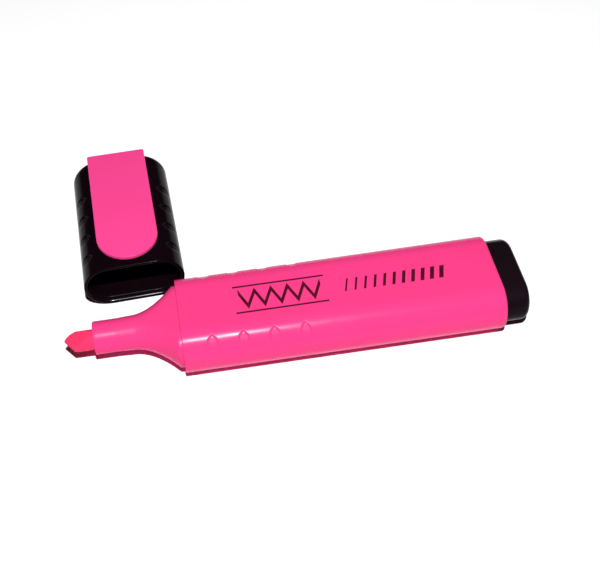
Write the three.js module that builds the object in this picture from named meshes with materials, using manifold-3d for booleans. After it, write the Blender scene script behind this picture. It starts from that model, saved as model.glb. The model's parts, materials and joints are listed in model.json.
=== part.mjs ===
// Flat highlighter with its cap off, lying on a table, in millimetres.
// +X runs from the nib to the tail, +Z is up, and the origin is the middle of the
// barrel's flat underside. The cap lies behind the nib with its clip up.
import * as THREE from 'three';
import { mergeVertices } from 'three/addons/utils/BufferGeometryUtils.js';
import Module from 'manifold-3d';

const wasm = await Module();
wasm.setup();

// ---- driving dimensions ----
const barrelLength = 82;
const barrelWidth = 26.3;       // across its front end
const barrelThickness = 14;
const barrelDraft = 0.55;       // each side is this much wider at the rear than at the front
const wall = 1.3;
const fitGap = 0.3;             // clearance between pieces that plug together
const endGap = 1;               // free space beyond the ends of the fibre rod
const clear = 1;                // how far a cutter runs past the face it opens
const merge = 0.01;             // overlap of two parts of one piece, so that they join
const seatInset = 1.45;         // step that the cap's rim closes against
const shoulderLength = 12;
const shoulderFlare = 8.2;      // how far the shoulder spreads past the nozzle, each side
const shoulderTopPower = 1.25;  // how the shoulder's thickness runs down to the nozzle
const shoulderSidePower = 1.83; // how its width does
const nozzleLength = 9.6;
const nozzleRootRadius = 4.35;
const nozzleTipRadius = 4.1;
const nibRadius = 2.63;
const nibSideways = -0.4;       // the nib and its bore sit this far off the pen's middle
const nibProtrusion = 7.35;
const nibEdgeDegrees = 50;      // writing edge to the pen's axis, seen from above
const nibCornerRadius = 3.1;    // round of the edge's far corner, seen from above
const nibCornerSide = 1.6;      // how far from the pen's middle that round reaches
const nibCornerCuts = [52, 38, 24, 11];  // degrees of its facets to the pen's axis
const nibSlopeDegrees = 20;     // sloping faces to the pen's axis plane
const nibSlopeTurnDegrees = 12; // their fall to the pen's axis, seen from above
const nibPointSideways = 0.08;
const nibEdgeThickness = 0.7;   // at the nib's point
const spigotLength = 8;
const spigotWall = 0.9;
const nibSeat = 5;              // how far the nib reaches into the fibre rod
const plugExposed = 6.8;
const plugWider = 0.35;         // the plug's head over its spigot, each side
const plugRound = 2;            // reach of the rounding at the plug's end
const plugSideCorner = 2.3;
const plugTopCorner = 1.4;
const plugFloor = 3;            // thickness of the plug's closed end
const capLength = 42.1;
const capWidth = 26.4;
const capWall = 1.15;
const capInnerDepth = 36;
const capCorner = 3;            // round of the closed end's corners, seen from above
const capEndRound = 1.8;        // round of the closed end's top and bottom edges
const linerMouth = 15;          // how far inside the cap's mouth its liner starts
const linerThickness = 0.8;
const linerGap = 0.2;           // clearance round the nozzle
const capMouthY = 16.4;         // how far behind the pen's middle the cap's mouth lies
const capSideways = -51.25;     // where the cap's middle lies along the pen
const capTurnDegrees = 92.2;    // the cap's axis, from +X
const clipWidth = 15.95;
const clipThickness = 1.2;
const clipLift = 0.8;           // air gap under the clip
const clipInset = 0.65;         // how far the clip stops short of the cap's end
const clipRootInset = 0.8;      // how far its root block stops short of the clip's end
const clipTipInset = 1.3;       // from the cap's mouth to the clip's tip
const clipRootFrom = 37.6;      // from the cap's mouth to the clip's root block
const clipRootDepth = 2.6;
const pocketGap = 0.4;          // clearance round the clip's root
const gripCount = 4;
const gripDepth = 0.4;
const gripReach = 1.2;          // how far a dish's cutter reaches in and out of the surface

// ---- derived dimensions ----
const halfThickness = barrelThickness / 2;
const halfWidth = barrelWidth / 2;
const sideFlat = halfWidth - halfThickness;     // half length of the flat top and bottom
const capFlat = capWidth / 2 - halfThickness;
const capInnerRadius = halfThickness - capWall;
const linerBore = nozzleRootRadius + linerGap;
const innerRadius = halfThickness - wall;
const spigotRadius = innerRadius - fitGap;
const barrelFront = -barrelLength / 2;
const barrelRear = barrelLength / 2;
const shoulderRear = barrelFront - fitGap;
const nozzleFront = barrelFront - shoulderLength - nozzleLength;
const nibTip = nozzleFront - nibProtrusion;
const reservoirFront = barrelFront + spigotLength + endGap;
const reservoirRear = barrelRear - spigotLength - endGap;
const nibRear = reservoirFront + nibSeat;
const reservoirRadius = 4.3;
const sleeveThickness = 0.3;
const ribSpacing = 6.8;
const ribThickness = 1;
const ribTip = 4.35;            // height of the ribs' tips from the pen's axis
const hollowShare = 0.75;       // share of the shoulder's length that is hollow
const leastFlat = 0.05;         // keeps a nearly round section's flat from vanishing
const roundSegments = 10;       // segments in each half-round side

const plastic = (color, roughness) =>
  new THREE.MeshStandardMaterial({ color, roughness, metalness: 0 });
const pinkPlastic = plastic(0xfe4a97, 0.28);
const clipPlastic = plastic(0xff4892, 0.3);
const blackPlastic = plastic(0x120a10, 0.32);
const linerPlastic = plastic(0x18131a, 0.5);
const inkedFibre = plastic(0xf53d75, 0.9);
const whiteFilm = plastic(0xf2e6ea, 0.5);

// ---- solids ----

// A closed three.js geometry as a manifold solid.
function toSolid(geometry) {
  const bare = geometry.clone();
  bare.deleteAttribute('normal');
  bare.deleteAttribute('uv');
  const merged = mergeVertices(bare, 1e-4);
  return new wasm.Manifold(new wasm.Mesh({
    numProp: 3,
    vertProperties: new Float32Array(merged.attributes.position.array),
    triVerts: new Uint32Array(merged.index.array),
  }));
}

function toGeometry(solid) {
  const mesh = solid.getMesh();
  const geometry = new THREE.BufferGeometry();
  geometry.setAttribute('position', new THREE.BufferAttribute(mesh.vertProperties, 3));
  geometry.setIndex(new THREE.BufferAttribute(mesh.triVerts, 1));
  return geometry;
}

// A straight-sided section with half-round ends, flat to +Z and -Z, one unit each way.
function unitStadium() {
  const shape = new THREE.Shape();
  shape.absarc(1, 0, 1, -Math.PI / 2, Math.PI / 2, false);
  shape.absarc(-1, 0, 1, Math.PI / 2, 3 * Math.PI / 2, false);
  return shape;
}

// Turns a solid extruded along +Z so that it runs along +X, its outline in Y and Z.
function alongX(geometry) {
  const basis = new THREE.Matrix4().makeBasis(
    new THREE.Vector3(0, 1, 0),
    new THREE.Vector3(0, 0, 1),
    new THREE.Vector3(1, 0, 0),
  );
  return geometry.applyMatrix4(basis);
}

// A body whose section at each station is { x, flat, radius }: flat is half the straight
// length across Y, and radius the half-round sides' radius. sectionAt takes 0 to 1.
function loft(steps, sectionAt) {
  const geometry = alongX(new THREE.ExtrudeGeometry(unitStadium(), {
    depth: 1, steps, curveSegments: roundSegments, bevelEnabled: false,
  }));
  const position = geometry.attributes.position;
  for (let i = 0; i < position.count; i += 1) {
    const { x, flat, radius } = sectionAt(position.getX(i));
    const side = Math.sign(position.getY(i));
    const across = Math.abs(position.getY(i)) - 1;
    position.setXYZ(i, x, side * (flat + radius * across), radius * position.getZ(i));
  }
  return toSolid(geometry);
}

// A straight length of one section.
function bar(from, to, flat, radius) {
  return loft(1, (t) => ({ x: from + (to - from) * t, flat, radius }));
}

function cylinderAlongX(from, to, radius, segments = 32) {
  const geometry = new THREE.CylinderGeometry(radius, radius, to - from, segments);
  geometry.rotateZ(-Math.PI / 2).translate((from + to) / 2, 0, 0);
  return toSolid(geometry);
}

function box(low, high) {
  const geometry = new THREE.BoxGeometry(high[0] - low[0], high[1] - low[1], high[2] - low[2]);
  geometry.translate((low[0] + high[0]) / 2, (low[1] + high[1]) / 2, (low[2] + high[2]) / 2);
  return toSolid(geometry);
}

// A block that fills everything near the pen on the side of a plane that normal points to.
function halfSpace(point, normal) {
  const size = 60;
  const geometry = new THREE.BoxGeometry(size, size, size);
  geometry.translate(0, 0, size / 2);
  geometry.applyQuaternion(new THREE.Quaternion().setFromUnitVectors(
    new THREE.Vector3(0, 0, 1),
    normal.clone().normalize(),
  ));
  geometry.translate(...point);
  return toSolid(geometry);
}

function withBoxes(solid, boxes) {
  return boxes.reduce((joined, [low, high]) => joined.add(box(low, high)), solid);
}

// ---- finger grips ----

// A drop outline standing on the origin: a right-angled point towards +Y, straight sides
// and a round lower end.
function dropShape(width, height) {
  const radius = width / 2;
  const top = height / 2;
  const arm = radius * 0.75;
  const shoulder = top - radius * 1.4;
  const shape = new THREE.Shape();
  shape.moveTo(0, top);
  shape.lineTo(-arm, top - arm);
  shape.quadraticCurveTo(-radius, top - radius, -radius, shoulder);
  shape.lineTo(-radius, radius - top);
  shape.absarc(0, radius - top, radius, Math.PI, 2 * Math.PI, false);
  shape.lineTo(radius, shoulder);
  shape.quadraticCurveTo(radius, top - radius, arm, top - arm);
  shape.lineTo(0, top);
  return shape;
}

// Cuts drop-shaped dishes of even depth in a row along both rounded sides of a solid, with
// their points towards the flat top. leanDegrees is the angle round the side from level to
// a dish's middle.
function withGrips(solid, { firstX, pitch, leanDegrees, width, height, flat }) {
  const lean = THREE.MathUtils.degToRad(leanDegrees);
  const core = bar(firstX - pitch, firstX + gripCount * pitch, flat,
    halfThickness - gripDepth);
  let cut = solid;
  for (const side of [-1, 1]) {
    for (let i = 0; i < gripCount; i += 1) {
      const drop = new THREE.ExtrudeGeometry(dropShape(width, height), {
        depth: gripReach * 2, steps: 1, curveSegments: 6, bevelEnabled: false,
      });
      if (side > 0) drop.rotateZ(Math.PI);
      drop.translate(0, 0, halfThickness - gripReach);
      drop.rotateX(-side * (Math.PI / 2 - lean));
      drop.translate(firstX + i * pitch, side * flat, 0);
      cut = cut.subtract(toSolid(drop).subtract(core));
    }
  }
  return cut;
}

// ---- pen ----

// Four ribs along the inside that hold the reservoir in the middle.
function barrelRibs() {
  const from = reservoirFront;
  const to = reservoirRear;
  const boxes = [];
  for (const y of [-ribSpacing / 2, ribSpacing / 2]) {
    for (const up of [-1, 1]) {
      const heights = [up * ribTip, up * (innerRadius + wall / 2)].sort((a, b) => a - b);
      boxes.push([
        [from, y - ribThickness / 2, heights[0]],
        [to, y + ribThickness / 2, heights[1]],
      ]);
    }
  }
  return boxes;
}

function barrel() {
  const outer = loft(1, (t) => ({
    x: barrelFront + barrelLength * t,
    flat: sideFlat + barrelDraft * t,
    radius: halfThickness,
  }));
  const inner = bar(barrelFront - clear, barrelRear + clear, sideFlat, innerRadius);
  const solid = withBoxes(outer.subtract(inner), barrelRibs());
  return withGrips(solid, {
    firstX: barrelFront + 7.4,
    pitch: 7.7,
    leanDegrees: 46,
    width: 3,
    height: 5.4,
    flat: sideFlat + barrelDraft / 4,
  });
}

// The shoulder's section, from its flat rear (0) to the nozzle's root (1). The rear end is a
// short even land for the cap's mouth. inset thins the section to give the hollow inside.
function shoulderSection(t, inset) {
  const landRadius = halfThickness - seatInset;
  const landHalfWidth = halfWidth - seatInset;
  const radius = nozzleRootRadius
    + (landRadius - nozzleRootRadius) * (1 - t) ** shoulderTopPower;
  const halfWide = Math.min(
    landHalfWidth,
    nozzleRootRadius + shoulderFlare * (1 - t) ** shoulderSidePower,
  );
  return {
    x: shoulderRear - (shoulderLength - fitGap) * t,
    flat: Math.max(halfWide - radius, leastFlat),
    radius: radius - inset,
  };
}

// Stations run from the nozzle to the rear, because a loft's faces point out when x rises.
function frontSection() {
  const shoulder = loft(16, (t) => shoulderSection(1 - t, 0));
  const nozzle = loft(1, (t) => ({
    x: nozzleFront + (nozzleLength + merge) * t,
    flat: leastFlat,
    radius: nozzleTipRadius + (nozzleRootRadius - nozzleTipRadius) * t,
  }));
  const spigot = bar(shoulderRear - merge, shoulderRear + spigotLength, sideFlat, spigotRadius);
  const hollow = loft(8, (t) => shoulderSection(hollowShare * (1 - t), wall));
  const spigotHollow = bar(shoulderRear - merge, shoulderRear + spigotLength + clear, sideFlat,
    spigotRadius - spigotWall);
  const bore = cylinderAlongX(nozzleFront - clear, shoulderRear, nibRadius + fitGap, 24)
    .translate([0, nibSideways, 0]);
  return shoulder.add(nozzle).add(spigot).subtract(hollow).subtract(spigotHollow).subtract(bore);
}

// Cutters for the far corner of the writing edge: facets round an arc that runs from the
// nib's point into its side.
function nibCornerCutters() {
  const middleY = nibCornerSide - nibCornerRadius;
  const run = Math.sqrt(nibCornerRadius ** 2 - (nibPointSideways - middleY) ** 2);
  return nibCornerCuts.map((degrees) => {
    const turn = THREE.MathUtils.degToRad(degrees);
    const normal = new THREE.Vector3(-Math.sin(turn), Math.cos(turn), 0);
    const touching = [
      nibTip + run + nibCornerRadius * normal.x,
      middleY + nibCornerRadius * normal.y,
      0,
    ];
    return halfSpace(touching, normal);
  });
}

// A round fibre rod cut to a slanted writing edge, with its far corner rounded off and a
// sloping face above and below the edge.
function nib() {
  const edge = THREE.MathUtils.degToRad(nibEdgeDegrees);
  const slope = THREE.MathUtils.degToRad(nibSlopeDegrees);
  const turn = THREE.MathUtils.degToRad(nibSlopeTurnDegrees);
  const edgeNormal = new THREE.Vector3(-Math.sin(edge), -Math.cos(edge), 0);
  const fall = new THREE.Vector3(-Math.cos(turn), -Math.sin(turn), 0);
  const point = [nibTip, nibPointSideways, 0];
  const cutters = [halfSpace(point, edgeNormal), ...nibCornerCutters()];
  for (const up of [-1, 1]) {
    const normal = fall.clone().multiplyScalar(Math.sin(slope));
    normal.z = up * Math.cos(slope);
    cutters.push(halfSpace([point[0], point[1], up * nibEdgeThickness / 2], normal));
  }
  const rod = cylinderAlongX(nibTip - clear, nibRear, nibRadius, 28)
    .translate([0, nibSideways, 0]);
  return cutters.reduce((left, cutter) => left.subtract(cutter), rod);
}

// Fibre rod that holds the ink, with a socket for the nib's rear end.
function reservoirCore() {
  const socket = cylinderAlongX(
    reservoirFront - clear,
    nibRear + fitGap,
    nibRadius + fitGap,
    24,
  ).translate([0, nibSideways, 0]);
  return cylinderAlongX(reservoirFront, reservoirRear, reservoirRadius, 28).subtract(socket);
}

// Thin film wrapped round the fibre rod.
function reservoirSleeve() {
  const inside = reservoirRadius + fitGap;
  const outside = inside + sleeveThickness;
  const profile = [
    new THREE.Vector2(inside, reservoirFront + endGap),
    new THREE.Vector2(outside, reservoirFront + endGap),
    new THREE.Vector2(outside, reservoirRear - endGap),
    new THREE.Vector2(inside, reservoirRear - endGap),
    new THREE.Vector2(inside, reservoirFront + endGap),
  ];
  return toSolid(new THREE.LatheGeometry(profile, 28).rotateZ(-Math.PI / 2));
}

// An end that closes in with rounded corners. reach is how far the rounding of the sides
// runs along x and sideCorner how far it draws them in; the top and bottom edges have a
// smaller round of radius topCorner.
function roundedEnd({ from, reach, flat, radius, sideCorner, topCorner }) {
  const topFrom = from + reach - topCorner;
  return loft(8, (t) => {
    const angle = t * Math.PI / 2;
    const x = from + reach * Math.sin(angle);
    const sideDraw = sideCorner * (1 - Math.cos(angle));
    const along = Math.min(Math.max(x - topFrom, 0), topCorner);
    const topDraw = topCorner - Math.sqrt(topCorner ** 2 - along ** 2);
    return { x, flat: flat + topDraw - sideDraw, radius: radius - topDraw };
  });
}

// The spigot that plugs the barrel's rear, and the head that stands out of it.
function tailPlug() {
  const rear = barrelRear + plugExposed;
  const front = barrelRear - spigotLength;
  const headFlat = sideFlat + plugWider;
  const spigot = bar(front, barrelRear + fitGap + merge, sideFlat, spigotRadius);
  const head = bar(barrelRear + fitGap, rear - plugRound + merge, headFlat, innerRadius);
  const end = roundedEnd({
    from: rear - plugRound,
    reach: plugRound,
    flat: headFlat,
    radius: innerRadius,
    sideCorner: plugSideCorner,
    topCorner: plugTopCorner,
  });
  const hollow = bar(front - clear, rear - plugFloor, sideFlat, spigotRadius - wall);
  return spigot.add(head).add(end).subtract(hollow);
}

// ---- cap, in its own frame: its mouth at x 0, its closed end at +X ----

function capShell() {
  const cornerFrom = capLength - capCorner;
  const straight = bar(0, cornerFrom + merge, capFlat, halfThickness);
  const end = roundedEnd({
    from: cornerFrom,
    reach: capCorner,
    flat: capFlat,
    radius: halfThickness,
    sideCorner: capCorner,
    topCorner: capEndRound,
  });
  const inside = bar(-clear, capInnerDepth, capFlat, capInnerRadius);
  const halfPocket = clipWidth / 2 + pocketGap;
  const pocket = box(
    [clipRootFrom - pocketGap, -halfPocket, halfThickness - clipRootDepth - pocketGap],
    [capLength - clipInset - clipRootInset + pocketGap, halfPocket, halfThickness + clear],
  );
  return withGrips(straight.add(end).subtract(inside).subtract(pocket), {
    firstX: 6.4,
    pitch: 7.2,
    leanDegrees: 42,
    width: 2.9,
    height: 4.9,
    flat: capFlat,
  });
}

// The tube that seals round the nozzle when the cap is on.
function capLiner() {
  const profile = [
    new THREE.Vector2(linerBore, linerMouth),
    new THREE.Vector2(linerBore + linerThickness, linerMouth),
    new THREE.Vector2(linerBore + linerThickness, capInnerDepth - fitGap),
    new THREE.Vector2(0, capInnerDepth - fitGap),
    new THREE.Vector2(0, capInnerDepth - fitGap - linerThickness),
    new THREE.Vector2(linerBore, capInnerDepth - fitGap - linerThickness),
    new THREE.Vector2(linerBore, linerMouth),
  ];
  return toSolid(new THREE.LatheGeometry(profile, 28).rotateZ(-Math.PI / 2));
}

// A tongue with a half-round tip over the mouth and a root block let into the closed end.
function clip() {
  const halfClip = clipWidth / 2;
  const tipCentre = clipTipInset + halfClip;
  const rear = capLength - clipInset;
  const tongue = new THREE.Shape();
  tongue.absarc(tipCentre, 0, halfClip, Math.PI / 2, 3 * Math.PI / 2, false);
  tongue.lineTo(rear, -halfClip);
  tongue.lineTo(rear, halfClip);
  const plate = new THREE.ExtrudeGeometry(tongue, {
    depth: clipThickness, steps: 1, curveSegments: 24, bevelEnabled: false,
  });
  plate.translate(0, 0, halfThickness + clipLift);
  const root = [
    [clipRootFrom, -halfClip, halfThickness - clipRootDepth],
    [rear - clipRootInset, halfClip, halfThickness + clipLift + merge],
  ];
  return withBoxes(toSolid(plate), [root]);
}

// ---- assembly ----

function piece(name, solid, material) {
  const mesh = new THREE.Mesh(toGeometry(solid), material);
  mesh.name = name;
  return mesh;
}

const pen = new THREE.Group();
pen.position.z = halfThickness;
pen.add(
  piece('barrel', barrel(), pinkPlastic),
  piece('front_section', frontSection(), pinkPlastic),
  piece('nib', nib(), inkedFibre),
  piece('reservoir_core', reservoirCore(), inkedFibre),
  piece('reservoir_sleeve', reservoirSleeve(), whiteFilm),
  piece('tail_plug', tailPlug(), blackPlastic),
);

const cap = new THREE.Group();
cap.position.set(capSideways, capMouthY, halfThickness);
cap.rotation.z = THREE.MathUtils.degToRad(capTurnDegrees);
cap.add(
  piece('cap_shell', capShell(), blackPlastic),
  piece('cap_liner', capLiner(), linerPlastic),
  piece('clip', clip(), clipPlastic),
);

const highlighter = new THREE.Group();
highlighter.add(pen, cap);

export default highlighter;
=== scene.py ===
"""Looks for the flat highlighter: fine meshes, materials, floor, lights and camera.

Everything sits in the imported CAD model's frame. Shapes are worked out in millimetres in two
local frames: the pen's, with its axis along +X at mid height, and the cap's, whose axis runs
from its mouth to its closed end. Meshes are written to Blender in metres.
"""
import json
import math

import bpy
import numpy as np
from mathutils import Matrix, Vector


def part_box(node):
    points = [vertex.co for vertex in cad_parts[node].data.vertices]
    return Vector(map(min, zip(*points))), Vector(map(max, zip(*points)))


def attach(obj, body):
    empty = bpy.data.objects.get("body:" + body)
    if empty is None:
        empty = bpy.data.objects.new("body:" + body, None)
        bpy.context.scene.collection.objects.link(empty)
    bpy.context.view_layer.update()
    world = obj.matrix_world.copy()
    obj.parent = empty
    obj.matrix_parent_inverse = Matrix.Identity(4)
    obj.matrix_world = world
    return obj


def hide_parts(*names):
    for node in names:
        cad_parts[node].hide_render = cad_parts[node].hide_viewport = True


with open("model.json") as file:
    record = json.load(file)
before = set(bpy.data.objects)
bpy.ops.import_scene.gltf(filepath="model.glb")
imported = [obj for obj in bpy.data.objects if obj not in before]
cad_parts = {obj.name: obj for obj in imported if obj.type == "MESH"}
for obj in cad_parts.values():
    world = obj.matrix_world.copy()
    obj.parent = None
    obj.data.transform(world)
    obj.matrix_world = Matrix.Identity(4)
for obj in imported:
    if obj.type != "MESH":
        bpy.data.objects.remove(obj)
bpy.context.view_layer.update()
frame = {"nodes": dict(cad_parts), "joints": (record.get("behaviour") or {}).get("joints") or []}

MM = 0.001                     # both in metres
MICRON = 0.000001

# ---- sizes in millimetres ----

# the pen's shells
WALL = 1.3                     # moulded wall of the barrel and the front section
FIT_GAP = 0.3                  # clearance between pieces that plug together
SEAT_INSET = 1.45              # step that the cap's rim closes against
SHOULDER_LENGTH = 12.0
SHOULDER_FLARE = 8.2           # how far the shoulder spreads past the nozzle, each side
SHOULDER_TOP_POWER = 1.25
SHOULDER_SIDE_POWER = 1.83
NOZZLE_ROOT = 4.35             # radii of the nozzle
NOZZLE_TIP = 4.16
NOZZLE_STRAIGHT = 5.8          # how far back it keeps the radius of its tip
NIB_BORE_DEPTH = 6.0           # drawn depth of the bore that holds the nib
SPIGOT_WALL = 0.9              # wall of the spigot that plugs into the barrel
SPIGOT_CHAMFER = (0.3, 0.25)   # its rear edge: run along the pen and draw-in
THROAT_START = (1.0, 0.7)      # where the inside narrows: ahead of the barrel, share of its flat
THROAT_AT = (0.3, 0.5, 0.7)    # shares of the shoulder where the narrowing inside is given
THROAT_FLAT = 0.75             # its flat, as a share of the shoulder's
THROAT_WALL = 1.4              # wall between the two

# the nib
NIB_EDGE_DEGREES = 50          # writing edge to the pen's axis, seen from above
NIB_SLOPE_DEGREES = 20
NIB_SLOPE_TURN_DEGREES = 12    # the slopes' fall to the pen's axis, seen from above
NIB_CORNER_RADIUS = 3.1        # round of the edge's far corner, seen from above
NIB_CORNER_SIDE = 1.6          # how far from the pen's middle that round reaches
NIB_CORNER_LAST = 11           # degrees of the last of its facets to the pen's axis
NIB_POINT_SIDEWAYS = 0.08
NIB_EDGE_HALF = 0.35           # half the writing edge's thickness at the nib's point
NIB_WEAR = 0.05                # how softly the nib's faces run into each other
NIB_FACETS = 12                # planes that make the far corner's round
NIB_RAY_ROOT = 6.2             # from the tip back to where the rays that shape it start
NIB_ROD_FROM = 7.0             # from the tip to where it is a plain rod

# the plug, the cap and the clip
PLUG_ROUND = 2.0               # length over which the plug's end draws in
PLUG_SIDE_CORNER = 2.3
PLUG_TOP_CORNER = 1.4
PLUG_FLOOR = 3.0
CAP_WALL = 1.15
CAP_INNER_DEPTH = 36.0
CAP_CORNER = 3.0               # round of the cap's closed end, seen from above
CAP_END_ROUND = 1.8
LINER_WALL = 0.8
CLIP_LIFT = 0.8                # air gap under the clip
CLIP_ROOT_FROM = 37.6          # from the cap's mouth
CLIP_ROOT_INSET = 0.8          # how far its root block stops short of the clip's end
CLIP_ROOT_NARROWER = 0.05      # the root block's sides inside the clip's
CLIP_ROOT_OVERLAP = 0.4        # how far the root block reaches up into the tongue
POCKET_GAP = 0.4               # clearance round the clip's root
POCKET_CUT_PAST = 3.0          # how far the pocket's cutter rises past the cap's top

# moulded edges
RIM_ROUND = 0.16               # outer edge of the barrel's front rim
RIM_CHAMFER = 0.1              # inner edges of both the barrel's rims
BARREL_REAR_ROUND = 0.6
NOZZLE_RIM_ROUND = 0.22
BORE_CHAMFER = 0.2             # mouth of the bore that holds the nib
PLUG_CHAMFER = 0.2             # inner end of the plug
CAP_MOUTH_ROUND = 0.3
CAP_LIP = (1.2, 0.68)          # inner edge of the cap's mouth: run inwards and across
CAP_BEAD = (1.7, 0.4, 0.16)    # snap bead inside the mouth: place, half width and height
LINER_FLOOR_CHAMFER = 0.4
LINER_END_CHAMFER = 0.3
CLIP_ROUND = 0.22
CLIP_CORNER = 0.5

# rings of three edges: how far each is from the edge's corner along the cap, and across it
CAP_FLOOR_CORNER = ((0.0, 1.2), (0.4, 0.3), (1.5, 0.0))
LINER_MOUTH_INSIDE = ((0.3, 0.0), (0.08, 0.09), (0.0, 0.3))
LINER_MOUTH_OUTSIDE = ((0.0, 0.2), (0.06, 0.06), (0.2, 0.0))

# meshes
MESH_STEP = 2.5                # longest face along a straight side
EDGE_STEP = 0.12               # the faces next to a rounded edge
NOZZLE_STEP = 0.6              # the faces where the nozzle starts to widen
FINE_STEP = 0.13               # mesh step where the dishes are
FINE_MARGIN = 0.4              # how far that fine mesh reaches past a dish
INSIDE_STEP = 8.0              # from the barrel's ends to the next ring inside it
CAP_INSIDE_RING = 12.0         # a ring part way down the cap's inside
LEAST_FLAT = 0.05              # flat of a section that is all but round
HUB = 0.4                      # least radius of the rings that close the liner's ends
HAIR = 0.01                    # keeps two faces from lying in one plane
TINY = 0.001                   # least distance that is put to a negative power
END_BAND = 1.0                 # vertices this near the barrel's front are on its front rim
SHARP_DEGREES = 35             # faces that meet more sharply than this keep a hard edge
NIB_FIRST_RING = 1.2           # degrees from the pen's axis to the nib's first ring
NIB_RINGS, NIB_ROD_RINGS, NIB_POINTS = 90, 12, 128
SHOULDER_RINGS = 60
PLUG_RINGS = 5
BEAD_RINGS, LIP_RINGS = 9, 9
LINER_POINTS = 72
CLIP_TIP_POINTS, CLIP_CORNER_POINTS, CLIP_EDGE_RINGS = 73, 6, 5

# drop-shaped finger dishes. A place is a distance from the barrel's front or the cap's mouth,
# and lean is the angle of a dish's middle above mid height, in degrees.
GRIP_COUNT = 4
GRIP_EDGE = 0.34               # width of a dish's sloping edge
GRIP_ARM_SLANT = 0.72          # turns a distance along the pen into one across a dish's edge
GRIP_SHARPNESS = 4.5           # how suddenly the point's straight arms meet the sides
GRIP_TOP_DEPTH = 0.24          # depth just inside the drop's point
GRIP_DEPTH = 0.32              # depth in the drop's middle
GRIP_FLOOR_RUN = 1.6           # from the point to the full depth
GRIP_FADE_FROM = 1.5           # from the point to where the floor starts to rise again
GRIP_FADE = 0.8                # share of the depth that is gone at the round end
BARREL_GRIPS = dict(first=7.4, pitch=7.7, lean=46, width=3.0, height=5.4)
CAP_GRIPS = dict(first=6.4, pitch=7.2, lean=42, width=2.9, height=4.9)

# printed pattern on the barrel's top
PRINT_THICKNESS = 0.02
WAVE_SPAN = (-25.6, -4.6)
WAVE_TURNS = 10
WAVE_HEIGHT = 2.35             # from the pen's middle to a turn
WAVE_STROKE = 0.95             # half of the zigzag's stroke, measured across the pen
RULE_SPAN = (-26.8, -3.4)
RULE_AT = 4.15                 # from the pen's middle
RULE_STROKE = 0.24             # half of a rule's stroke
TICK_COUNT = 11
TICK_FROM = 1.6
TICK_PITCH = 2.45
TICK_HALF_HEIGHT = 2.0
TICK_WIDTHS = (0.45, 1.15)     # of the first and the last tick
TICK_LEAN = 0.28               # how far a tick leans along the pen for each step across it

# ---- looks ----

LOOKS_UP = 0.74                # a glossy face's least upward share of its normal

# noise patterns: cells to the metre, and how many finer layers are added
SLOW_TONE = (90.0, 3.0)
SLOW_GLOSS = (260.0, 4.0)
SLOW_FORM = (120.0, 2.0)
MOULD_TEXTURE = (5200.0, 2.0)
SCRATCHES = (1600.0, 3.0)
STRANDS = (3800.0, 3.0)
CLUMPS = (700.0, 3.0)
SPECKLE = (9000.0, 1.0)
INK_SPOTS = (4200.0, 3.0)
INK_GLOSS = (900.0, 2.0)
INK_TEXTURE = (6000.0, 2.0)
FLOOR_TONE = (30.0, 2.0)
FLOOR_GLOSS = (300.0, 2.0)

# stretches of a noise's values, and what they turn into
NOISE_MIDDLE = (0.3, 0.7)
SCRATCH_BAND = (0.64, 0.72)    # only the noise's highest values are scratches
SPOT_BAND = (0.66, 0.76)       # and thin spots in the ink
STRAND_BAND = (0.55, 0.75)     # and pale strands in the fibre
CLUMP_BAND = (0.35, 0.65)      # deeper clumps in the fibre
GLOSS_SPREAD = (0.85, 1.15)    # least and most roughness, as a share of the mean
SCUFF_ROUGHNESS = 0.06         # what a scuff adds
SLOW_FORM_DEPTH = 3            # depth of the slow unevenness, as a multiple of the texture's
PLASTIC_IOR = 1.5
SCRATCH_SCALE = (0.05, 1.0, 1.0)  # axis scales that draw a pattern out along X
STRAND_SCALE = (0.07, 1.0, 1.0)
CLUMP_SCALE = (0.3, 1.0, 1.0)
CUT_FACING = (0.94, 0.985)     # cosines to the nib's slope: off the cut face, and on it
CUT_DEPTH = 0.75               # share of the deeper colour that the cut face takes
CLUMP_DEPTH = 0.25             # share of it that clumps add
PALE_STRAND = 0.3              # share of the paler colour that strands take
FIBRE_ROUGHNESS = (0.62, 0.9)
FIBRE_SPECULAR = 0.2
STRAND_DEPTH = 60 * MICRON
SPECKLE_DEPTH = 20 * MICRON
INK_SOLID = (0.07, 0.001, 0.011)
INK_THIN = (0.2, 0.006, 0.035)
INK_ROUGHNESS = (0.32, 0.5)
INK_DEPTH = 4 * MICRON

# floor, light and camera, in millimetres unless said
FLOOR_HALF = 2.0               # half its width, in metres
FLOOR_COLOURS = ((0.95, 0.95, 0.95), (0.96, 0.96, 0.96))
FLOOR_ROUGHNESS = (0.75, 0.85)
FLOOR_GLOW = (0.2, 0.75)       # metres out, from where to where the floor turns white by itself
FLOOR_GLOW_STRENGTH = 0.95
LAMP_PLACE = (-26, -141, 325)
LAMP_RADIUS = 7
LAMP_POWER = 56                # watts
FILL_STRENGTH = 0.008          # the surround as a light
WALL_STRENGTH = 1.0            # the surround as the camera sees it
CAMERA_PLACE = (-37.13, -152.01, 201.58)
CAMERA_FORWARD = (0.1128, 0.6341, -0.765)
CAMERA_ROLL = -0.004           # radians
CAMERA_SENSOR = 36.0
CAMERA_LENS = 57.94
CAMERA_RANGE = (0.01, 20.0)    # metres, nearest and farthest seen


# ---- reading the frame ----

def span(node, direction):
    """Lowest and highest reach of a CAD node along a direction, in millimetres."""
    reach = [v.co.dot(direction) for v in frame["nodes"][node].data.vertices]
    return min(reach) / MM, max(reach) / MM


def half_width(node, direction):
    """Half of what a CAD node measures along a direction, in millimetres."""
    low, high = span(node, direction)
    return (high - low) / 2


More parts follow.
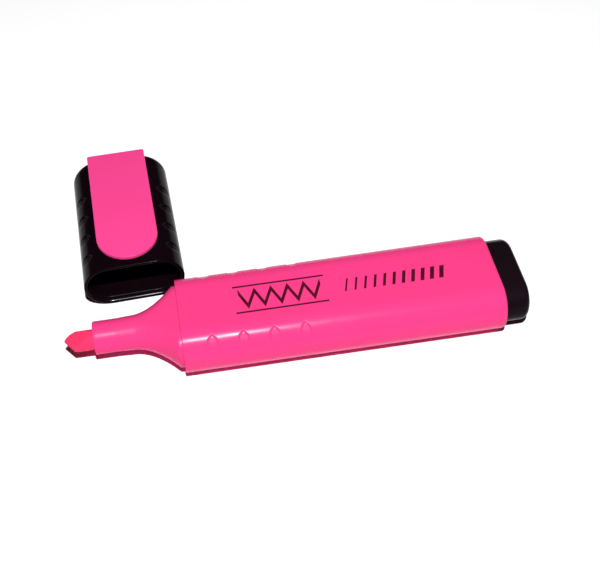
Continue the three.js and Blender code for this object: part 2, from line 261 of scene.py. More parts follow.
class Place:
    """A local frame in millimetres: origin and three directions."""

    def __init__(self, origin, along, across):
        self.origin = np.array(origin, float)
        self.axes = np.array([along, across, Vector(along).cross(Vector(across))], float)

    def put(self, points):
        """Local points in millimetres to Blender's metres."""
        return (self.origin + np.asarray(points, float) @ self.axes) * MM


X, Y, Z = Vector((1, 0, 0)), Vector((0, 1, 0)), Vector((0, 0, 1))
barrel_low, barrel_high = (np.array(c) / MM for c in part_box("barrel"))
half_thick = (barrel_high[2] - barrel_low[2]) / 2
pen = Place((0, 0, half_thick), X, Y)

cap_axis = Vector(next(j for j in frame["joints"] if j["name"] == "cap_pull")["axis"])
cap_side = Z.cross(cap_axis)
cap_mouth, cap_end = span("cap_shell", cap_axis)
cap_middle = sum(span("cap_shell", cap_side)) / 2
cap_origin = cap_axis * cap_mouth + cap_side * cap_middle + Z * half_thick
cap = Place(cap_origin, cap_axis, cap_side)
cap_length = cap_end - cap_mouth

barrel_front, barrel_rear = barrel_low[0], barrel_high[0]
rear_flat = barrel_high[1] - half_thick
near_front = [abs(v.co.y) for v in frame["nodes"]["barrel"].data.vertices
              if v.co.x / MM < barrel_front + END_BAND]
front_flat = max(near_front) / MM - half_thick
inner_radius = half_thick - WALL
spigot_radius = inner_radius - FIT_GAP
nib_low, nib_high = (np.array(c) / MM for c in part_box("nib"))
nib_radius = (nib_high[2] - nib_low[2]) / 2
nib_middle = (nib_low[1] + nib_high[1]) / 2

cap_flat = half_width("cap_shell", cap_side) - half_thick
cap_inner_radius = half_thick - CAP_WALL
clip_half = half_width("clip", cap_side)
clip_start, clip_rear = (v - cap_mouth for v in span("clip", cap_axis))
clip_root_bottom, clip_top = (v - half_thick for v in span("clip", Z))


# ---- meshes ----

def make(name, points, faces, place, smooth_angle=SHARP_DEGREES):
    """A mesh object from points in a local frame, shaded smooth except at sharp edges."""
    mesh = bpy.data.meshes.new(name)
    mesh.from_pydata([tuple(p) for p in place.put(points)], [], faces)
    mesh.validate()
    mesh.update()
    mesh.shade_smooth()
    mesh.set_sharp_from_angle(angle=math.radians(smooth_angle))
    obj = bpy.data.objects.new(name, mesh)
    bpy.context.scene.collection.objects.link(obj)
    return obj


def skin(rings, close_first=True, loop=False):
    """Points and faces over a run of equal rings. In a loop the last ring joins the first. Else
    the last is closed off, and so is the first unless it is left open."""
    count = len(rings[0])
    points = np.concatenate(rings)
    faces = []
    rows = len(rings) if loop else len(rings) - 1
    for i in range(rows):
        a, b = i * count, (i + 1) % len(rings) * count
        for j in range(count):
            k = (j + 1) % count
            faces.append((a + j, a + k, b + k, b + j))
    if not loop and close_first:
        faces.append(tuple(reversed(range(count))))
    if not loop:
        last = (len(rings) - 1) * count
        faces.append(tuple(range(last, last + count)))
    return points, faces


def marks(low, high, step, fine=(), end_step=None):
    """Rising values from low to high, step apart, and FINE_STEP apart inside the fine ranges.
    The first and last steps are end_step, so that shading stays even up to an edge."""
    values = set()
    edges = sorted({low, high, *(e for r in fine for e in r if low < e < high)})
    if end_step:
        edges = [low, low + end_step, *edges[1:-1], high - end_step, high]
    for start, stop in zip(edges, edges[1:]):
        middle = (start + stop) / 2
        size = FINE_STEP if any(a <= middle <= b for a, b in fine) else step
        pieces = max(1, math.ceil((stop - start) / size))
        values.update(start + (stop - start) * k / pieces for k in range(pieces + 1))
    return np.array(sorted(values))


class Section:
    """Where the points of a stadium section lie: half-round sides and flats above and below.

    The arcs have a point every arc_step degrees, and one every FINE_STEP millimetres between
    the fine degrees, measured at the given radius.
    """

    def __init__(self, fine_degrees=None, arc_step=5.0, flat_steps=6, radius=7.0):
        fine = []
        if fine_degrees:
            low, high = fine_degrees
            one_degree = math.radians(1) * radius
            fine = [(low * one_degree, high * one_degree)]
        quarter = math.radians(90) * radius
        arc = marks(-quarter, quarter, math.radians(arc_step) * radius, fine) / radius
        inside = np.linspace(1, -1, flat_steps + 1)[1:-1]
        self.side = np.concatenate([np.ones(len(arc)), inside, -np.ones(len(arc)), -inside])
        self.angle = np.concatenate([
            arc,
            np.full(len(inside), math.pi / 2),
            arc[::-1],
            np.full(len(inside), -math.pi / 2),
        ])
        self.on_side = np.abs(self.side) == 1

    def ring(self, x, flat, radius, dent=None):
        """Points of the section at x. dent(x, side, angle) gives how far each is pushed in."""
        depth = dent(x, self.side, self.angle) if dent else 0
        reach = np.where(self.on_side, radius - depth, radius)
        y = self.side * flat + np.sign(self.side) * reach * np.cos(self.angle) * self.on_side
        z = reach * np.sin(self.angle)
        return np.stack([np.full(len(y), float(x)), y, z], axis=1)


def smoothstep(t):
    """0 to 1 with soft ends as t goes from 0 to 1."""
    t = np.clip(t, 0, 1)
    return t * t * (3 - 2 * t)


def grip_dents(first, pitch, lean, width, height, radius):
    """A function for how deep points of a section sit in a row of drop-shaped dishes.

    The dishes are on the section's half-round sides. A drop's right-angled point is towards
    the flat top. Its floor deepens away from the point and runs out shallow at the round end.
    """
    half = width / 2

    def dent(x, side, angle):
        down = height / 2 - (angle - math.radians(lean)) * radius   # from the drop's point
        nearest = np.clip(round((x - first) / pitch), 0, GRIP_COUNT - 1)
        along = abs(x - first - nearest * pitch)
        straight = np.maximum(down, TINY)
        point_part = (straight ** -GRIP_SHARPNESS + half ** -GRIP_SHARPNESS) ** (
            -1 / GRIP_SHARPNESS)
        into_end = np.clip(down - (height - half), 0, half)
        round_part = np.sqrt(half ** 2 - into_end ** 2)
        reach = np.minimum(point_part, round_part)
        inside = smoothstep((reach - along) * GRIP_ARM_SLANT / GRIP_EDGE)
        inside = np.where((down < 0) | (down > height), 0, inside)
        depth = GRIP_TOP_DEPTH + (GRIP_DEPTH - GRIP_TOP_DEPTH) * np.clip(
            down / GRIP_FLOOR_RUN, 0, 1)
        rise = smoothstep((down - GRIP_FADE_FROM) / (height - GRIP_FADE_FROM))
        return depth * (1 - GRIP_FADE * rise) * inside * (np.abs(side) == 1)

    return dent


def fine_ranges(grips):
    """Stretches along the piece that hold a dish."""
    reach = grips["width"] / 2 + FINE_MARGIN
    centres = [grips["first"] + i * grips["pitch"] for i in range(GRIP_COUNT)]
    return [(c - reach, c + reach) for c in centres]


def fine_arc(grips, radius):
    """Lowest and highest angle of the dishes on the half-round side, in degrees."""
    reach = math.degrees((grips["height"] / 2 + FINE_MARGIN) / radius)
    return grips["lean"] - reach, grips["lean"] + reach


def rounding(x, flat, radius, size, direction, steps=5):
    """x, flat and radius of rings over a rounded end edge: direction 1 turns inwards towards
    +X, and -1 comes from the end face out to full size."""
    turns = np.linspace(0, math.pi / 2, steps + 1)
    if direction < 0:
        turns = turns[::-1]
    for turn in turns:
        inset = size * (1 - math.cos(turn))
        yield x + direction * size * math.sin(turn), flat, radius - inset


# ---- pen ----

def build_barrel():
    """The barrel's shell: from its front rim along the outside and back along the inside."""
    grips = dict(BARREL_GRIPS, first=barrel_front + BARREL_GRIPS["first"])
    dent = grip_dents(radius=half_thick, **grips)
    section = Section(fine_arc(grips, half_thick), radius=half_thick)
    length = barrel_rear - barrel_front

    def flat_at(x):
        return front_flat + (rear_flat - front_flat) * (x - barrel_front) / length

    front = barrel_front + RIM_ROUND
    rear = barrel_rear - BARREL_REAR_ROUND
    rings = [section.ring(*step) for step in
             rounding(front, front_flat, half_thick, RIM_ROUND, -1, steps=3)]
    rings += [section.ring(x, flat_at(x), half_thick, dent)
              for x in marks(front, rear, MESH_STEP, fine_ranges(grips), EDGE_STEP)[1:-1]]
    rings += [section.ring(*step) for step in
              rounding(rear, rear_flat, half_thick, BARREL_REAR_ROUND, 1)]
    rings.append(section.ring(barrel_rear, front_flat, inner_radius + RIM_CHAMFER))
    rings += [section.ring(x, front_flat, inner_radius)
              for x in (barrel_rear - RIM_CHAMFER, barrel_rear - INSIDE_STEP, 0,
                        barrel_front + INSIDE_STEP, barrel_front + RIM_CHAMFER)]
    rings.append(section.ring(barrel_front, front_flat, inner_radius + RIM_CHAMFER))
    return make("barrel_shell", *skin(rings, loop=True), pen)


def shoulder(t):
    """x, flat and radius of the shoulder from its flat rear (0) to the nozzle's root (1)."""
    land_radius = half_thick - SEAT_INSET
    land_half = front_flat + land_radius
    radius = NOZZLE_ROOT + (land_radius - NOZZLE_ROOT) * (1 - t) ** SHOULDER_TOP_POWER
    half = min(land_half, NOZZLE_ROOT + SHOULDER_FLARE * (1 - t) ** SHOULDER_SIDE_POWER)
    x = barrel_front - FIT_GAP - (SHOULDER_LENGTH - FIT_GAP) * t
    return x, max(half - radius, LEAST_FLAT), radius


def build_front_section():
    """Hollow shell from the nozzle's mouth over the shoulder to the spigot in the barrel."""
    section = Section(arc_step=4, flat_steps=4)
    low, spigot_rear = span("front_section", X)
    nozzle_root = shoulder(1)[0]
    bore = nib_radius + FIT_GAP
    rim_rear = low + NOZZLE_RIM_ROUND
    cone = low + NOZZLE_STRAIGHT

    def bored(x, radius):
        ring = section.ring(x, LEAST_FLAT, radius)
        return ring + np.array([0, nib_middle, 0])

    rings = [bored(low + NIB_BORE_DEPTH, bore), bored(low + BORE_CHAMFER, bore),
             bored(low, bore + BORE_CHAMFER)]
    rings += [section.ring(*step) for step in
              rounding(rim_rear, LEAST_FLAT, NOZZLE_TIP, NOZZLE_RIM_ROUND, -1, steps=4)]
    for x in marks(rim_rear, cone, MESH_STEP, end_step=NOZZLE_STEP)[1:]:
        rings.append(section.ring(x, LEAST_FLAT, NOZZLE_TIP))
    for x in marks(cone, nozzle_root, MESH_STEP, end_step=NOZZLE_STEP)[1:-1]:
        share = (x - cone) / (nozzle_root - cone)
        rings.append(section.ring(x, LEAST_FLAT, NOZZLE_TIP + (NOZZLE_ROOT - NOZZLE_TIP) * share))
    rings += [section.ring(*shoulder(t)) for t in np.linspace(1, 0, SHOULDER_RINGS)]
    _, flat, radius = shoulder(0)
    seat = barrel_front - HAIR
    inside = spigot_radius - SPIGOT_WALL
    run, draw = SPIGOT_CHAMFER
    ahead, share = THROAT_START
    rings += [section.ring(seat, flat, radius),
              section.ring(seat, front_flat, spigot_radius),
              section.ring(spigot_rear - run, front_flat, spigot_radius),
              section.ring(spigot_rear, front_flat, spigot_radius - draw),
              section.ring(spigot_rear, front_flat, inside),
              section.ring(barrel_front - ahead, front_flat * share, inside)]
    rings += [section.ring(x, max(flat * THROAT_FLAT, LEAST_FLAT), radius - THROAT_WALL)
              for x, flat, radius in (shoulder(t) for t in THROAT_AT)]
    return make("front_shell", *skin(rings, loop=True), pen)


def slope_normal(up):
    """The way the nib's upper (1) or lower (-1) sloping face points."""
    slope, turn = math.radians(NIB_SLOPE_DEGREES), math.radians(NIB_SLOPE_TURN_DEGREES)
    return np.array([-math.cos(turn) * math.sin(slope), -math.sin(turn) * math.sin(slope),
                     up * math.cos(slope)])


def nib_planes(point):
    """Points and normals of the nib's faces: the writing edge, the far corner's round as a
    fan of planes, and the slopes above and below."""
    edge = math.radians(NIB_EDGE_DEGREES)
    planes = [(point, np.array([-math.sin(edge), -math.cos(edge), 0]))]
    middle_y = NIB_CORNER_SIDE - NIB_CORNER_RADIUS
    run = math.sqrt(NIB_CORNER_RADIUS ** 2 - (point[1] - middle_y) ** 2)
    middle = np.array([point[0] + run, middle_y, 0])
    last = math.radians(NIB_CORNER_LAST)
    for turn in np.linspace(last, math.atan2(run, point[1] - middle_y), NIB_FACETS):
        normal = np.array([-math.sin(turn), math.cos(turn), 0])
        planes.append((middle + normal * (NIB_CORNER_RADIUS + NIB_WEAR), normal))
    for up in (-1, 1):
        planes.append((point + np.array([0, 0, up * NIB_EDGE_HALF]), slope_normal(up)))
    return planes


def build_nib():
    """The fibre rod with its chisel end. Rays from a point inside are cut short by the rod's
    side and by the nib's faces, softly, so that every edge is slightly worn."""
    tip, rear = nib_low[0], nib_high[0]
    planes = nib_planes(np.array([tip - NIB_WEAR, NIB_POINT_SIDEWAYS, 0]))
    root = np.array([tip + NIB_RAY_ROOT, nib_middle, 0])
    around = NIB_POINTS
    angles = np.arange(around) * 2 * math.pi / around

    def reach(direction):
        """Length of a ray from the root. A soft least of what cuts it wears the edges."""
        lengths = []
        side = math.hypot(direction[1], direction[2])
        if side > 0:
            lengths.append(nib_radius / side)
        for place, normal in planes:
            run = direction @ normal
            if run > 0:
                lengths.append(((place - root) @ normal) / run)
        lengths = np.array(lengths)
        least = lengths.min()
        return least - NIB_WEAR * math.log(np.exp((least - lengths) / NIB_WEAR).sum())

    rings = []
    for polar in np.radians(np.linspace(NIB_FIRST_RING, 90, NIB_RINGS)):
        directions = np.stack([np.full(around, -math.cos(polar)),
                               math.sin(polar) * np.cos(angles),
                               math.sin(polar) * np.sin(angles)], axis=1)
        rings.append(np.array([root + d * reach(d) for d in directions]))
    rings += [np.stack([np.full(around, x), nib_middle + nib_radius * np.cos(angles),
                        nib_radius * np.sin(angles)], axis=1)
              for x in np.linspace(tip + NIB_ROD_FROM, rear, NIB_ROD_RINGS)]
    points, faces = skin(rings, close_first=False)
    ahead = np.array([-1.0, 0, 0])
    points = np.concatenate([points, [root + ahead * reach(ahead)]])
    faces += [(len(points) - 1, (j + 1) % around, j) for j in range(around)]
    return make("nib_fibre", points, faces, pen, smooth_angle=60)


def rounded_end(start, reach, flat, radius, side_corner, top_corner, steps=16):
    """x, flat and radius over an end whose sides draw in by side_corner over reach, with a
    smaller round on the top and bottom edges."""
    top_from = start + reach - top_corner
    for turn in np.linspace(0, math.pi / 2, steps + 1):
        x = start + reach * math.sin(turn)
        side_draw = side_corner * (1 - math.cos(turn))
        along = min(max(x - top_from, 0), top_corner)
        top_draw = top_corner - math.sqrt(top_corner ** 2 - along ** 2)
        yield x, flat + top_draw - side_draw, radius - top_draw


def build_plug():
    """The tail plug: a hollow spigot in the barrel and a solid head behind it."""
    section = Section(arc_step=4, flat_steps=6)
    front, rear = span("tail_plug", X)
    head_flat = span("tail_plug", Y)[1] - inner_radius
    head = barrel_rear + HAIR
    bore = spigot_radius - WALL
    rings = [section.ring(rear - PLUG_FLOOR, front_flat, bore),
             section.ring(front, front_flat, bore),
             section.ring(front, front_flat, spigot_radius - PLUG_CHAMFER),
             section.ring(front + PLUG_CHAMFER, front_flat, spigot_radius),
             section.ring(head, front_flat, spigot_radius)]
    rings += [section.ring(x, head_flat, inner_radius)
              for x in np.linspace(head, rear - PLUG_ROUND, PLUG_RINGS)[:-1]]
    rings += [section.ring(*step) for step in
              rounded_end(rear - PLUG_ROUND, PLUG_ROUND, head_flat, inner_radius,
                          PLUG_SIDE_CORNER, PLUG_TOP_CORNER)]
    return make("tail_plug_shell", *skin(rings), pen)


# ---- cap ----

def combine(obj, operation, points, faces, place):
    """Cuts a solid out of a mesh object, or joins it on, and keeps only the result."""
    tool = make("tool", points, faces, place)
    modifier = obj.modifiers.new("combine", "BOOLEAN")
    modifier.operation, modifier.solver, modifier.object = operation, "EXACT", tool
    depsgraph = bpy.context.evaluated_depsgraph_get()
    result = bpy.data.meshes.new_from_object(obj.evaluated_get(depsgraph))
    obj.modifiers.clear()
    obj.data = result
    result.set_sharp_from_angle(angle=math.radians(SHARP_DEGREES))
    bpy.data.objects.remove(tool)
    return obj


def block(low, high):
    """Points and faces of a box between two corners."""
    corners = [(x, y, z) for x in (low[0], high[0]) for y in (low[1], high[1])
               for z in (low[2], high[2])]
    faces = [(0, 1, 3, 2), (4, 6, 7, 5), (0, 4, 5, 1), (2, 3, 7, 6), (0, 2, 6, 4), (1, 5, 7, 3)]
    return np.array(corners, float), faces


def cap_inside():
    """x and radius down the inside of the cap, from its floor to the mouth's inner edge."""
    inner = cap_inner_radius
    for up, draw in CAP_FLOOR_CORNER:
        yield CAP_INNER_DEPTH - up, inner - draw
    yield CAP_INSIDE_RING, inner
    place, half, height = CAP_BEAD
    for t in np.linspace(1, -1, BEAD_RINGS):
        yield place + half * t, inner - height * (0.5 + 0.5 * math.cos(math.pi * t))
    run, across = CAP_LIP
    for turn in np.linspace(0, math.pi / 2, LIP_RINGS):
        yield run * (1 - math.sin(turn)), inner + across * (1 - math.cos(turn))


def build_cap_shell():
    """The cap from its floor out over the mouth's lip and along the outside, less the pocket
    for the clip's root."""
    section = Section(fine_arc(CAP_GRIPS, half_thick), radius=half_thick)
    dent = grip_dents(radius=half_thick, **CAP_GRIPS)
    straight_end = cap_length - CAP_CORNER
    mouth = CAP_MOUTH_ROUND
    rings = [section.ring(x, cap_flat, radius) for x, radius in cap_inside()]
    rings += [section.ring(*step) for step in
              rounding(mouth, cap_flat, half_thick, mouth, -1)]
    rings += [section.ring(x, cap_flat, half_thick, dent)
              for x in marks(mouth, straight_end, MESH_STEP, fine_ranges(CAP_GRIPS),
                             EDGE_STEP)[1:-1]]
    rings += [section.ring(*step) for step in
              rounded_end(straight_end, CAP_CORNER, cap_flat, half_thick, CAP_CORNER,
                          CAP_END_ROUND)]
    shell = make("cap_outer", *skin(rings), cap)
    half = clip_half + POCKET_GAP
    pocket = block((CLIP_ROOT_FROM - POCKET_GAP, -half, clip_root_bottom - POCKET_GAP),
                   (clip_rear - CLIP_ROOT_INSET + POCKET_GAP, half,
                    half_thick + POCKET_CUT_PAST))
    return combine(shell, "DIFFERENCE", *pocket, cap)


def build_liner():
    """The round cup inside the cap that seals on the nozzle, turned from its profile."""
    low, high = (v - cap_mouth for v in span("cap_liner", cap_axis))
    outer = half_width("cap_liner", cap_side)
    bore = outer - LINER_WALL
    floor = high - LINER_WALL
    profile = [(floor, HUB), (floor, bore - LINER_FLOOR_CHAMFER),
               (floor - LINER_FLOOR_CHAMFER, bore)]
    profile += [(low + along, bore + out) for along, out in LINER_MOUTH_INSIDE]
    profile += [(low + along, outer - draw) for along, draw in LINER_MOUTH_OUTSIDE]
    profile += [(high - LINER_END_CHAMFER, outer), (high, outer - LINER_END_CHAMFER), (high, HUB)]
    around = LINER_POINTS
    turns = np.arange(around) * 2 * math.pi / around
    rings = [np.stack([np.full(around, x), r * np.cos(turns), r * np.sin(turns)], axis=1)
             for x, r in profile]
    return make("cap_liner_tube", *skin(rings), cap)


def plate_ring(inset, z):
    """The clip's outline drawn in by inset: half-round tip, straight sides, small rear corners."""
    centre = clip_start + clip_half
    points = []
    for turn in np.linspace(math.pi / 2, 3 * math.pi / 2, CLIP_TIP_POINTS):
        points.append((centre + (clip_half - inset) * math.cos(turn),
                       (clip_half - inset) * math.sin(turn), z))
    for side in (-1, 1):
        start = -math.pi / 2 if side < 0 else 0
        for turn in np.linspace(start, start + math.pi / 2, CLIP_CORNER_POINTS):
            reach = CLIP_CORNER - inset
            points.append((clip_rear - CLIP_CORNER + reach * math.cos(turn),
                           side * (clip_half - CLIP_CORNER) + reach * math.sin(turn), z))
    return np.array(points)


def build_clip():
    """The clip's tongue with the block that roots it in the cap's closed end."""
    bottom = half_thick + CLIP_LIFT
    turns = np.linspace(0, math.pi / 2, CLIP_EDGE_RINGS)
    rings = [plate_ring(CLIP_ROUND * (1 - math.sin(t)), bottom + CLIP_ROUND * (1 - math.cos(t)))
             for t in turns]
    rings += [plate_ring(CLIP_ROUND * (1 - math.cos(t)), clip_top - CLIP_ROUND * (1 - math.sin(t)))
              for t in turns]
    tongue = make("clip_tongue", *skin(rings), cap)
    half = clip_half - CLIP_ROOT_NARROWER
    root = block((CLIP_ROOT_FROM, -half, clip_root_bottom),
                 (clip_rear - CLIP_ROOT_INSET, half, bottom + CLIP_ROOT_OVERLAP))
    return combine(tongue, "UNION", *root, cap)


# ---- print: a zigzag between two rules, and a row of slanted ticks ----

def stroke(centres, half, lean=0.0):
    """A thin raised stroke through points on the top, half wide each way across the pen."""
    low, high = half_thick - HAIR, half_thick + PRINT_THICKNESS
    rings = []
    for x, y in centres:
        below, above = (x - half * lean, y - half), (x + half * lean, y + half)
        rings.append(np.array([(*below, low), (*above, low), (*above, high), (*below, high)]))
    return skin(rings)


def build_print():
    """All the strokes as one mesh."""
    zigzag = [(x, WAVE_HEIGHT * (-1) ** i)
              for i, x in enumerate(np.linspace(*WAVE_SPAN, WAVE_TURNS + 1))]
    parts = [stroke(zigzag, WAVE_STROKE)]
    for y in (-RULE_AT, RULE_AT):
        parts.append(stroke([(RULE_SPAN[0], y), (RULE_SPAN[1], y)], RULE_STROKE))
    for i, width in enumerate(np.linspace(*TICK_WIDTHS, TICK_COUNT)):
        x = TICK_FROM + i * TICK_PITCH
        parts.append(stroke([(x, 0), (x + width, 0)], TICK_HALF_HEIGHT, TICK_LEAN))
    points, faces = [], []
    for part_points, part_faces in parts:
        faces += [tuple(len(points) + i for i in face) for face in part_faces]
        points += list(part_points)
    return make("print_bars", np.array(points), faces, pen, smooth_angle=20)


# ---- materials ----

class Nodes:
    """A short way to write a Principled material's node tree."""

    MIX_A, MIX_B, MIX_RESULT = 6, 7, 2    # the colour sockets of a Mix node

    def __init__(self, name):
        self.material = bpy.data.materials.new(name)
        self.material.use_nodes = True
        self.tree = self.material.node_tree
        self.shader = self.tree.nodes["Principled BSDF"]
        coordinates = self.tree.nodes.new("ShaderNodeTexCoord")
        self.object_space = coordinates.outputs["Object"]
        self.object_normal = coordinates.outputs["Normal"]

    def shade(self, socket, value):
        """Links or sets one of the shader's own sockets."""
        self.set(self.shader.inputs[socket], value)

    def node(self, kind, inputs, **settings):
        """A node with its settings made and its inputs linked or given a value."""
        made = self.tree.nodes.new(kind)
        for key, value in settings.items():
            setattr(made, key, value)
        for key, value in inputs.items():
            self.set(made.inputs[key], value)
        return made

    def set(self, socket, value):
        """Links a socket to another node's output, or gives it a fixed value."""
        if isinstance(value, bpy.types.NodeSocket):
            self.tree.links.new(value, socket)
        else:
            socket.default_value = value

    def stretched(self, scale):
        """Object coordinates with each axis scaled."""
        made = self.node("ShaderNodeMapping", {"Vector": self.object_space, "Scale": scale})
        return made.outputs["Vector"]

    def noise(self, pattern, axis_scale=None):
        """Noise between 0 and 1, drawn out along the axes that have a scale below 1."""
        cells, layers = pattern
        vector = self.stretched(axis_scale) if axis_scale else self.object_space
        made = self.node("ShaderNodeTexNoise", {"Vector": vector, "Scale": cells,
                                                "Detail": layers})
        return made.outputs["Fac"]

    def ramp(self, value, band, out=(0.0, 1.0)):
        """Turns a band of values into a band of others, and holds them outside it."""
        made = self.node("ShaderNodeMapRange", {
            "Value": value, "From Min": band[0], "From Max": band[1], "To Min": out[0],
            "To Max": out[1]})
        return made.outputs["Result"]

    def blend(self, factor, a, b):
        """Colour a where the factor is 0, and b where it is 1."""
        made = self.node("ShaderNodeMix", {"Factor": factor, self.MIX_A: a, self.MIX_B: b},
                         data_type="RGBA")
        return made.outputs[self.MIX_RESULT]

    def maths(self, operation, a, b):
        """A Math node's result on two values."""
        return self.node("ShaderNodeMath", {0: a, 1: b}, operation=operation).outputs[0]

    def bump(self, height, depth, normal=None):
        """Bumps as deep as depth, in metres, on top of another node's if a normal is given."""
        inputs = {"Height": height, "Distance": depth, "Strength": 1.0}
        if normal:
            inputs["Normal"] = normal
        return self.node("ShaderNodeBump", inputs).outputs["Normal"]

    def facing(self, direction, band):
        """0 to 1 as the surface turns towards a direction of the object."""
        turned = self.node("ShaderNodeVectorMath", {0: self.object_normal, 1: direction},
                           operation="DOT_PRODUCT")
        return self.ramp(turned.outputs["Value"], band)


def rgba(r, g, b):
    """A solid colour as a socket takes it."""
    return (r, g, b, 1.0)


def moulded_plastic(name, specular, colour, darker, roughness, texture_depth):
    """Smooth moulded plastic: fine mould texture, slow colour and gloss variation, and faint
    scuffs. The roughness is its mean, and the depth of the texture is in metres."""
    n = Nodes(name)
    tone = n.ramp(n.noise(SLOW_TONE), NOISE_MIDDLE)
    n.shade("Base Color", n.blend(tone, rgba(*colour), rgba(*darker)))
    scuffs = n.ramp(n.noise(SCRATCHES, SCRATCH_SCALE), SCRATCH_BAND)
    spread = [roughness * share for share in GLOSS_SPREAD]
    gloss = n.ramp(n.noise(SLOW_GLOSS), NOISE_MIDDLE, spread)
    n.shade("Roughness", n.maths("ADD", gloss, n.maths("MULTIPLY", scuffs, SCUFF_ROUGHNESS)))
    texture = n.bump(n.noise(MOULD_TEXTURE), texture_depth)
    n.shade("Normal", n.bump(n.noise(SLOW_FORM), texture_depth * SLOW_FORM_DEPTH, texture))
    n.shade("IOR", PLASTIC_IOR)
    n.shade("Specular IOR Level", specular)
    return n.material


def two_finishes(name, sides, tops, **finish):
    """A dull plastic for a piece's sides, and the same with more gloss for what looks up. They
    are two materials because the export keeps a specular level only as a fixed value."""
    return [moulded_plastic(name, sides, **finish),
            moulded_plastic(name + "_top", tops, **finish)]


def fibre_material(name, colour, deep, pale):
    """Pressed fibres along the pen, wet with ink, with deeper colour on the cut face."""
    n = Nodes(name)
    strands = n.noise(STRANDS, STRAND_SCALE)
    clumps = n.ramp(n.noise(CLUMPS, CLUMP_SCALE), CLUMP_BAND, (0.0, CLUMP_DEPTH))
    cut = n.maths("MULTIPLY", n.facing(slope_normal(1), CUT_FACING), CUT_DEPTH)
    wet = n.blend(n.maths("ADD", cut, clumps), rgba(*colour), rgba(*deep))
    pale_strands = n.ramp(strands, STRAND_BAND, (0.0, PALE_STRAND))
    n.shade("Base Color", n.blend(pale_strands, wet, rgba(*pale)))
    n.shade("Roughness", n.ramp(strands, NOISE_MIDDLE, FIBRE_ROUGHNESS))
    n.shade("Normal", n.bump(n.noise(SPECKLE), SPECKLE_DEPTH, n.bump(strands, STRAND_DEPTH)))
    n.shade("Specular IOR Level", FIBRE_SPECULAR)
    return n.material


def ink_material():
    """Pad-printed ink, thinner in small spots."""
    n = Nodes("print_ink")
    spots = n.ramp(n.noise(INK_SPOTS), SPOT_BAND)
    n.shade("Base Color", n.blend(spots, rgba(*INK_SOLID), rgba(*INK_THIN)))
    n.shade("Roughness", n.ramp(n.noise(INK_GLOSS), NOISE_MIDDLE, INK_ROUGHNESS))
    n.shade("Normal", n.bump(n.noise(INK_TEXTURE), INK_DEPTH))
    return n.material


# Colours are linear. The numbers for sides and tops are specular levels.
pink = two_finishes(
    "pink_plastic", sides=0.07, tops=0.115,
    colour=(0.80, 0.0450, 0.210), darker=(0.79, 0.0425, 0.202),
    roughness=0.245, texture_depth=0.6 * MICRON)
front_pink = two_finishes(
    "front_plastic", sides=0.03, tops=0.27,
    colour=(0.80, 0.0470, 0.214), darker=(0.79, 0.0445, 0.206),
    roughness=0.28, texture_depth=0.6 * MICRON)
clip_pink = two_finishes(
    "clip_plastic", sides=0.03, tops=0.09,
    colour=(0.82, 0.0570, 0.255), darker=(0.81, 0.0545, 0.246),
    roughness=0.27, texture_depth=0.6 * MICRON)
black = two_finishes(
    "black_plastic", sides=0.025, tops=0.16,
    colour=(0.0085, 0.0042, 0.0066), darker=(0.0065, 0.003, 0.005),
    roughness=0.19, texture_depth=0.8 * MICRON)
# The cap's black is the same black plastic as the plug's, made darker: that extra darkness is
# painted shade for the dim inside of the cap.
cap_black_with_painted_shade = two_finishes(
    "cap_plastic", sides=0.03, tops=0.2,
    colour=(0.005, 0.0018, 0.0036), darker=(0.0035, 0.001, 0.0024),
    roughness=0.19, texture_depth=0.8 * MICRON)
liner_black = moulded_plastic(
    "liner_plastic", specular=0.15,
    colour=(0.009, 0.006, 0.008), darker=(0.006, 0.004, 0.005),
    roughness=0.5, texture_depth=3 * MICRON)
inked = fibre_material(
    "inked_fibre", colour=(0.87, 0.0285, 0.124), deep=(0.83, 0.031, 0.117),
    pale=(0.92, 0.065, 0.2))
film = moulded_plastic(
    "film", specular=0.4,
    colour=(0.88, 0.80, 0.83), darker=(0.82, 0.72, 0.77),
    roughness=0.4, texture_depth=3 * MICRON)
ink = ink_material()


def finish_piece(obj, body, node, materials, highest=math.inf):
    """Puts a piece on its body, in place of a CAD node if one is named. The last of its
    materials goes on the faces that look up and are below highest, in millimetres."""
    mesh = obj.data
    mesh.materials.clear()
    for material in materials:
        mesh.materials.append(material)
    for face in mesh.polygons:
        glossy = face.normal.z > LOOKS_UP and face.center.z < highest * MM
        face.material_index = len(materials) - 1 if glossy else 0
    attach(obj, body)
    if node:
        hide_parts(node)


finish_piece(build_barrel(), "pen", "barrel", pink)
finish_piece(build_front_section(), "pen", "front_section", front_pink)
finish_piece(build_nib(), "pen", "nib", [inked])
finish_piece(build_plug(), "pen", "tail_plug", black)
finish_piece(build_print(), "pen", None, [ink])
finish_piece(build_cap_shell(), "cap", "cap_shell", cap_black_with_painted_shade, half_thick)
finish_piece(build_liner(), "cap", "cap_liner", [liner_black])
finish_piece(build_clip(), "clip", "clip", clip_pink)
for node_name, material in (("reservoir_core", inked), ("reservoir_sleeve", film)):
    slots = frame["nodes"][node_name].data.materials
    slots.clear()
    slots.append(material)


# ---- floor, light and camera ----

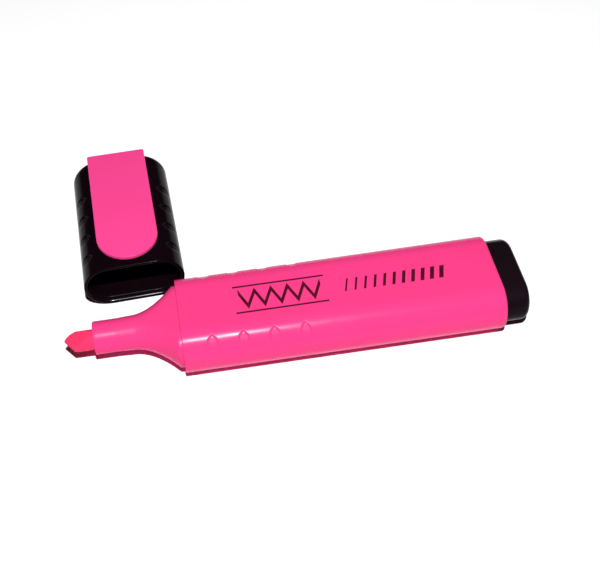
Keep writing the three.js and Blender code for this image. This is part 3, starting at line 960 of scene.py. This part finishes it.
def build_floor():
    """A white sheet under the pieces. It glows by itself further out, where the lamp's light
    would leave it grey in low views."""
    n = Nodes("pale_floor")
    dark, pale = FLOOR_COLOURS
    n.shade("Base Color", n.blend(n.noise(FLOOR_TONE), rgba(*dark), rgba(*pale)))
    n.shade("Roughness", n.ramp(n.noise(FLOOR_GLOSS), NOISE_MIDDLE, FLOOR_ROUGHNESS))
    distance = n.node("ShaderNodeVectorMath", {0: n.object_space}, operation="LENGTH")
    n.shade("Emission Color", rgba(1, 1, 1))
    n.shade("Emission Strength",
            n.ramp(distance.outputs["Value"], FLOOR_GLOW, (0.0, FLOOR_GLOW_STRENGTH)))
    half = FLOOR_HALF
    mesh = bpy.data.meshes.new("floor")
    mesh.from_pydata([(-half, -half, 0), (half, -half, 0), (half, half, 0), (-half, half, 0)],
                     [], [(0, 1, 2, 3)])
    floor = bpy.data.objects.new("floor", mesh)
    mesh.materials.append(n.material)
    bpy.context.scene.collection.objects.link(floor)


def build_lamp():
    """A small bright lamp just above the camera, equally strong at every distance."""
    data = bpy.data.lights.new("key", "POINT")
    data.energy = LAMP_POWER
    data.shadow_soft_size = LAMP_RADIUS * MM
    data.use_nodes = True
    tree = data.node_tree
    falloff = tree.nodes.new("ShaderNodeLightFalloff")
    falloff.inputs["Strength"].default_value = 1.0
    tree.links.new(falloff.outputs["Constant"], tree.nodes["Emission"].inputs["Strength"])
    lamp = bpy.data.objects.new("key", data)
    lamp.location = Vector(LAMP_PLACE) * MM
    bpy.context.scene.collection.objects.link(lamp)


def build_world():
    """A dim white surround that the camera sees as a pale wall."""
    world = bpy.data.worlds.new("studio")
    world.use_nodes = True
    tree = world.node_tree
    background = tree.nodes["Background"]
    background.inputs["Color"].default_value = rgba(1, 1, 1)
    seen = tree.nodes.new("ShaderNodeMapRange")
    seen.inputs["To Min"].default_value = FILL_STRENGTH
    seen.inputs["To Max"].default_value = WALL_STRENGTH
    rays = tree.nodes.new("ShaderNodeLightPath")
    tree.links.new(rays.outputs["Is Camera Ray"], seen.inputs["Value"])
    tree.links.new(seen.outputs["Result"], background.inputs["Strength"])
    bpy.context.scene.world = world


def build_camera():
    """The photo's camera, solved from the outlines together with the shape."""
    data = bpy.data.cameras.new("camera")
    data.sensor_width = CAMERA_SENSOR
    data.lens = CAMERA_LENS
    data.clip_start, data.clip_end = CAMERA_RANGE
    camera = bpy.data.objects.new("camera", data)
    forward = Vector(CAMERA_FORWARD).normalized()
    level = forward.cross(Z).normalized()
    over = level.cross(forward)
    right = level * math.cos(CAMERA_ROLL) + over * math.sin(CAMERA_ROLL)
    up = over * math.cos(CAMERA_ROLL) - level * math.sin(CAMERA_ROLL)
    turn = Matrix((right, up, -forward)).transposed().to_4x4()
    camera.matrix_world = Matrix.Translation(Vector(CAMERA_PLACE) * MM) @ turn
    bpy.context.scene.collection.objects.link(camera)
    bpy.context.scene.camera = camera


build_floor()
build_lamp()
build_world()
build_camera()
bpy.context.scene.view_settings.view_transform = "Standard"
